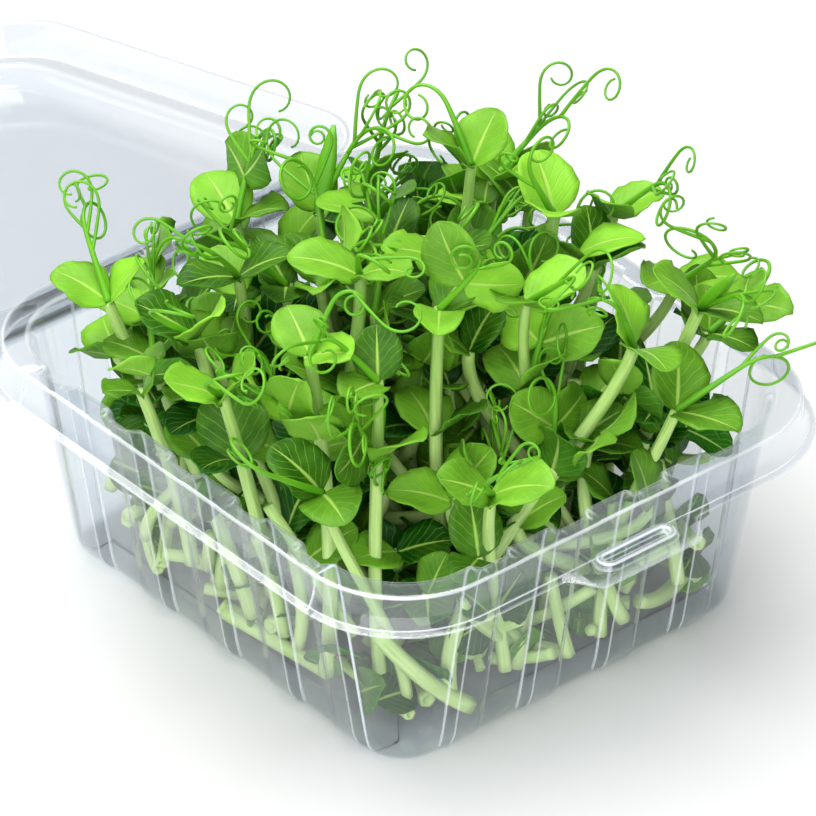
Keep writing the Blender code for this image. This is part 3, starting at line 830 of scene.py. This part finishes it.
def leaf_material(name, dark, light, vein, glow, roughness, through):
    """One side of a leaf: its flesh colours, veins from the leaf's own UV map, and its glow."""
    made, tree, output = new_material(name)
    surface_place = add_node(tree, "ShaderNodeUVMap", uv_map="surface")
    parts = add_node(tree, "ShaderNodeSeparateXYZ", {0: surface_place.outputs[0]})
    beside = add_node(tree, "ShaderNodeMath", {0: parts.outputs["X"]}, operation="ABSOLUTE")
    # The midrib narrows towards the tip.
    narrow = add_node(tree, "ShaderNodeMapRange", {
        "Value": parts.outputs["Y"], "From Min": 0.0, "From Max": 1.0, "To Min": 0.1, "To Max": 0.02})
    rib = add_node(tree, "ShaderNodeMath", {
        0: beside.outputs[0], 1: narrow.outputs[0]}, operation="DIVIDE")
    midrib = add_node(tree, "ShaderNodeMapRange", {
        "Value": rib.outputs[0], "From Min": 0.4, "From Max": 1.3, "To Min": 0.85, "To Max": 0.0})
    # Side veins leave it in pairs, about 3 mm apart, and sweep forward.
    swept = add_node(tree, "ShaderNodeMath", {
        0: beside.outputs[0], 1: -0.5, 2: parts.outputs["Y"]}, operation="MULTIPLY_ADD")
    bent = add_node(tree, "ShaderNodeTexNoise", {
        "Vector": surface_place.outputs[0], "Scale": 2.5, "Detail": 2.0})
    warped = add_node(tree, "ShaderNodeMath", {
        0: bent.outputs["Fac"], 1: 0.14, 2: swept.outputs[0]}, operation="MULTIPLY_ADD")
    spaced = add_node(tree, "ShaderNodeMath", {
        0: warped.outputs[0], 1: 2.0 * VEIN_PAIRS}, operation="MULTIPLY")
    gap = add_node(tree, "ShaderNodeMath", {0: spaced.outputs[0], 1: 1.0}, operation="PINGPONG")
    side_vein = add_node(tree, "ShaderNodeMapRange", {
        "Value": gap.outputs[0], "From Min": 0.02, "From Max": 0.16, "To Min": 0.3, "To Max": 0.0})
    veins = add_node(tree, "ShaderNodeMath", {
        0: midrib.outputs[0], 1: side_vein.outputs[0]}, operation="MAXIMUM")
    coords = add_node(tree, "ShaderNodeTexCoord")
    mottle = add_node(tree, "ShaderNodeTexNoise", {
        "Vector": coords.outputs["Object"], "Scale": 1.0 / (MOTTLE_PATCH * MM), "Detail": 3.0})
    # Each leaf's tone attribute holds its random tone and, on the shoots, painted shade that darkens
    # leaves low in the heap.
    tone_and_depth_shade = add_node(tree, "ShaderNodeAttribute", attribute_name="leaf_tone_and_depth_shade")
    flesh_tone_with_painted_shade = add_node(tree, "ShaderNodeMath", {
        0: mottle.outputs["Fac"], 1: 0.5, 2: tone_and_depth_shade.outputs["Fac"]},
        operation="MULTIPLY_ADD", use_clamp=True)
    flesh = add_node(tree, "ShaderNodeMix", {
        "Factor": flesh_tone_with_painted_shade.outputs[0], 6: linear(dark), 7: linear(light)}, data_type="RGBA")
    colour = add_node(tree, "ShaderNodeMix", {
        "Factor": veins.outputs[0], 6: flesh.outputs[2], 7: linear(vein)}, data_type="RGBA")
    relief = add_node(tree, "ShaderNodeBump", {
        "Height": veins.outputs[0], "Strength": 0.5, "Distance": 0.0005}, invert=True)
    skin = add_node(tree, "ShaderNodeBsdfPrincipled", {
        "Base Color": colour.outputs[2], "Roughness": roughness, "IOR": 1.4,
        "Specular IOR Level": 0.28, "Normal": relief.outputs[0]})
    lit_through = add_node(tree, "ShaderNodeBsdfTranslucent", {"Color": linear(glow)})
    surface = add_node(tree, "ShaderNodeMixShader", {
        0: through, 1: skin.outputs[0], 2: lit_through.outputs[0]})
    tree.links.new(surface.outputs[0], output.inputs["Surface"])
    return made


# Pea leaf: its upper side has a thin bluish wax over green flesh, its under side is paler,
# and light that comes through it turns a strong yellow-green.
leaf_upper = leaf_material("waxed pea leaf, upper side", dark="0c4a00", light="94da3a",
                           vein="b0d860", glow="58b008", roughness=0.42, through=0.15)
leaf_under = leaf_material("pea leaf, under side", dark="226c04", light="98da44",
                           vein="bee074", glow="70c412", roughness=0.55, through=0.18)

# Tendril: a bright green thread, round and smooth, whose green changes slowly along it.
tendril_skin, tree, output = new_material("tendril skin")
coords = add_node(tree, "ShaderNodeTexCoord")
mottle = add_node(tree, "ShaderNodeTexNoise", {"Vector": coords.outputs["Object"], "Scale": 60.0})
tint = add_node(tree, "ShaderNodeMix", {
    "Factor": mottle.outputs["Fac"], 6: linear("3d8a08"), 7: linear("78bc2a")}, data_type="RGBA")
skin = add_node(tree, "ShaderNodeBsdfPrincipled", {
    "Base Color": tint.outputs[2], "Roughness": 0.38, "IOR": 1.38})
tree.links.new(skin.outputs[0], output.inputs["Surface"])

# Radii from root to tip. A stem's are shares of the shoot's own radius.
STEM_TAPER = (1.04, 1.0, 0.95, 0.8)
TENDRIL_RADII = (0.95, 0.8, 0.6, 0.45, 0.38, 0.35, 0.32)
BRANCH_RADII = (0.5, 0.42, 0.36, 0.33, 0.3)
BUD_RADII = (0.8, 1.2, 1.9, 1.8, 1.1, 0.4)

HEAP_EDGE = 72
HEAP_RISE = 22
HEAP_HALF_WIDTH = 72
HEAP_HALF_LENGTH = 80
BACK_SLOPE = 0.25
# The heap's dips in front: the middle's x and y, the depth, and how far it spreads.
HEAP_DIPS = ((-40, -46, 40, 1400), (10, -66, 36, 900))


def heap_height(x, y):
    """The height of the heap over the tray: a low dome, with dips in front that show the stems."""
    dome = HEAP_RISE * (1 - (x / HEAP_HALF_WIDTH) ** 2) * (1 - (y / HEAP_HALF_LENGTH) ** 2)
    dome -= BACK_SLOPE * max(0.0, y)
    dip = max(depth * math.exp(-((x - dip_x) ** 2 + (y - dip_y) ** 2) / spread)
              for dip_x, dip_y, depth, spread in HEAP_DIPS)
    return HEAP_EDGE + dome - dip


def make_piece(name, fill):
    """One piece of pea greens, filled by a function that is given its mesh and layers.

    Stems and leaves curve freely and differ from each other, so they are built point by point.
    """
    bm = bmesh.new()
    surface_map = bm.loops.layers.uv.new("surface")
    tone_and_shade_layer = bm.verts.layers.float.new("leaf_tone_and_depth_shade")
    fill(bm, surface_map, tone_and_shade_layer)
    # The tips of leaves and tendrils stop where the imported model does.
    for vert in bm.verts:
        vert.co = [min(max(spot, low), high) for spot, low, high in zip(vert.co, cad_low, cad_high)]
    mesh = bpy.data.meshes.new(name)
    bm.to_mesh(mesh)
    bm.free()
    piece = bpy.data.objects.new(name, mesh)
    bpy.context.scene.collection.objects.link(piece)
    for finish in (stem_flesh, leaf_upper, leaf_under, tendril_skin):
        mesh.materials.append(finish)
    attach(piece, "tray")
    return piece


# Painted shade: how much darker a leaf's colour is made from the top of the heap down to the floor.
PAINTED_DEPTH_SHADE = 1.2


def make_shoot(name, shoot, rng, rows, columns, sides):
    """One shoot as one piece: stem, leaves, tendrils and bud, rooted in each other."""
    def fill(bm, surface_map, tone_and_shade_layer):
        radii = [shoot["radius"] * share for share in STEM_TAPER]
        sweep(bm, surface_map, shoot["stem"], radii, 2 * sides, STEM,
              ridges=5, ridge_depth=0.05, hollow=0.45)
        for made in shoot["leaves"]:
            # Leaves low in the heap are given a darker tone: painted shade, added to each leaf's random
            # tone.
            depth = max(0.0, 1 - made["root"].z / heap_height(made["root"].x, made["root"].y))
            tone_and_depth_shade = rng.uniform(-0.15, 0.65) - PAINTED_DEPTH_SHADE * depth
            add_leaf(bm, surface_map, tone_and_shade_layer, made, tone_and_depth_shade, rows, columns)
        for path in shoot["tendrils"]:
            sweep(bm, surface_map, path, TENDRIL_RADII, sides, TENDRIL)
            for branch in side_branches(path, rng):
                sweep(bm, surface_map, branch[::2], BRANCH_RADII, 6, TENDRIL)
        for path in shoot["buds"]:
            sweep(bm, surface_map, path, BUD_RADII, 2 * sides, TENDRIL, ridges=2, ridge_depth=0.25)

    return make_piece(name, fill)


rng = random.Random(SEED + 1)
main_shoots = plan_shoots()
pieces = [make_shoot(f"pea_shoot_{number:02d}", shoot, rng, rows=12, columns=8, sides=9)
          for number, shoot in enumerate(main_shoots, 1)]
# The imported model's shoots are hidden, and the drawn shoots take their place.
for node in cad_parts:
    if node.startswith("pea_shoots"):
        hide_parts(node)

# ------------------------------------------------------------------ shorter shoots
# Shorter cut shoots of the same plants. They are tipped in loose with the tall ones, and lean
# and cross below and between them until the tray is full.

FILLERS = 84
FILLER_DRAWS = 6
FILLER_LEAF_LENGTH = 0.86
FILLER_LEAF_WIDTH = 0.84
FILLER_STEM_CLEAR = 2.2
TENDRIL_SHARE = 0.45


def plan_fillers(taken):
    """Shorter shoots at seeded places, each the least crowded of several draws."""
    rng = random.Random(SEED + 2)
    fillers = []
    while len(fillers) < FILLERS:
        near = search_tree(taken)
        best = None
        for draw in range(FILLER_DRAWS):
            x, y = rng.uniform(-62, 62), rng.uniform(-70, 64)
            tip = Vector((x, y, heap_height(x, y) * rng.uniform(0.6, 0.98)))
            base = Vector((x * 0.75 + rng.uniform(-34, 34), y * 0.75 + rng.uniform(-34, 34),
                           rng.uniform(4.6, 18)))
            shoot = grow(base, tip, rng.choice(("slim", "arched", "low")), rng)
            if not all(free_of_tray(point, FILLER_STEM_CLEAR) for point in shoot["stem"]):
                continue
            for made in shoot["leaves"]:
                made["length"] *= FILLER_LEAF_LENGTH
                made["width"] *= FILLER_LEAF_WIDTH
            kept = rng.random() < TENDRIL_SHARE
            shoot["tendrils"] = [path for path in shoot["tendrils"] if kept and inside_box(path)]
            lost = trim_to_tray(shoot)
            crowd = sum(len(near.find_range(point, CROWDED)) for point in samples(shoot))
            cost = 2 * lost + 0.5 * crowd
            if best is None or cost < best[0]:
                best = (cost, shoot)
        if best:
            fillers.append(best[1])
            taken = taken + samples(best[1])
    return fillers


rng = random.Random(SEED + 3)
taken = [point for shoot in main_shoots for point in samples(shoot)]
for number, shoot in enumerate(plan_fillers(taken), 1):
    make_shoot(f"small_shoot_{number:02d}", shoot, rng, rows=8, columns=6, sides=7)

# ------------------------------------------------------------------ loose stems and leaflets
# Bits that broke off as the shoots were cut and packed: stem ends that lie and lean along the
# walls with their pale, hollow ends out, and single leaflets that slipped down between them.

# The stem pieces in front: each one's cut end, far end and radius.
LOOSE_STEMS = (
    ((-28, -59, 5), (-49, -50, 31), 2.2),
    ((-46, -28, 6), (-52, 4, 9), 1.8),
    ((-10, -57, 14), (-24, -38, 38), 1.7),
    ((2, -57, 6), (-20, -40, 16), 1.6),
    ((26, -55, 8), (2, -30, 16), 1.7),
    ((-50, 30, 8), (-30, 50, 22), 1.7),
)
LEANING_STEMS = 240
LEANING_STEM_REACH = 26
LEANING_STEM_RISE = 44
LOOSE_LEAFLETS = 300
# How far below the top of the heap the leaflets stay.
LEAFLETS_BELOW = 18


def fill_loose(bm, surface_map, tone_and_shade_layer):
    """The loose stem pieces, leaning ones all round the wall, and single fallen leaflets."""
    rng = random.Random(SEED + 4)
    stems = [(Vector(cut), Vector(far), radius) for cut, far, radius in LOOSE_STEMS]
    while len(stems) < len(LOOSE_STEMS) + LEANING_STEMS:
        cut = Vector((rng.uniform(-62, 62), rng.uniform(-72, 72), 4.8 + 16 * rng.random() ** 2))
        # Stems in the middle of the tray would stay out of sight.
        if free_of_tray(Vector((cut.x, cut.y, 40)), 20):
            continue
        far = cut + Vector((rng.uniform(-LEANING_STEM_REACH, LEANING_STEM_REACH),
                            rng.uniform(-LEANING_STEM_REACH, LEANING_STEM_REACH),
                            rng.uniform(0, LEANING_STEM_RISE) * rng.choice((0.15, 1.0))))
        if free_of_tray(cut, 2.4) and free_of_tray(far, 2.4) and far.z < RIM_TOP + 1:
            stems.append((cut, far, rng.uniform(1.2, 2.0)))
    for cut, far, radius in stems:
        sag = Vector((rng.uniform(-2, 2), rng.uniform(-2, 2), -2))
        path = bezier(cut, cut.lerp(far, 0.3) + sag, cut.lerp(far, 0.7) + sag, far, 12)
        sweep(bm, surface_map, path, (radius, radius * 0.9), 15, STEM,
              ridges=5, ridge_depth=0.06, hollow=0.5)
    laid = 0
    while laid < LOOSE_LEAFLETS:
        root = Vector((rng.uniform(-60, 60), rng.uniform(-70, 70), 4 + 50 * rng.random() ** 2))
        heading = Vector((rng.uniform(-1, 1), rng.uniform(-1, 1), rng.uniform(-0.6, 0.9)))
        facing = Vector((rng.uniform(-1, 1), rng.uniform(-1, 1), rng.uniform(0, 1)))
        length = rng.uniform(12, 19)
        made = leaf(root, heading, facing, length, length * 0.8, rng)
        corners = [leaf_point(made, along, side) for along in (0.0, 0.3, 0.6, 1.0) for side in (-1, 1)]
        top = heap_height(root.x, root.y) - LEAFLETS_BELOW
        if all(free_of_tray(point, 1.2) and point.z < top for point in corners):
            add_leaf(bm, surface_map, tone_and_shade_layer, made, rng.uniform(-0.3, 0.2), rows=7, columns=4)
            laid += 1


make_piece("loose_stems_and_leaflets", fill_loose)
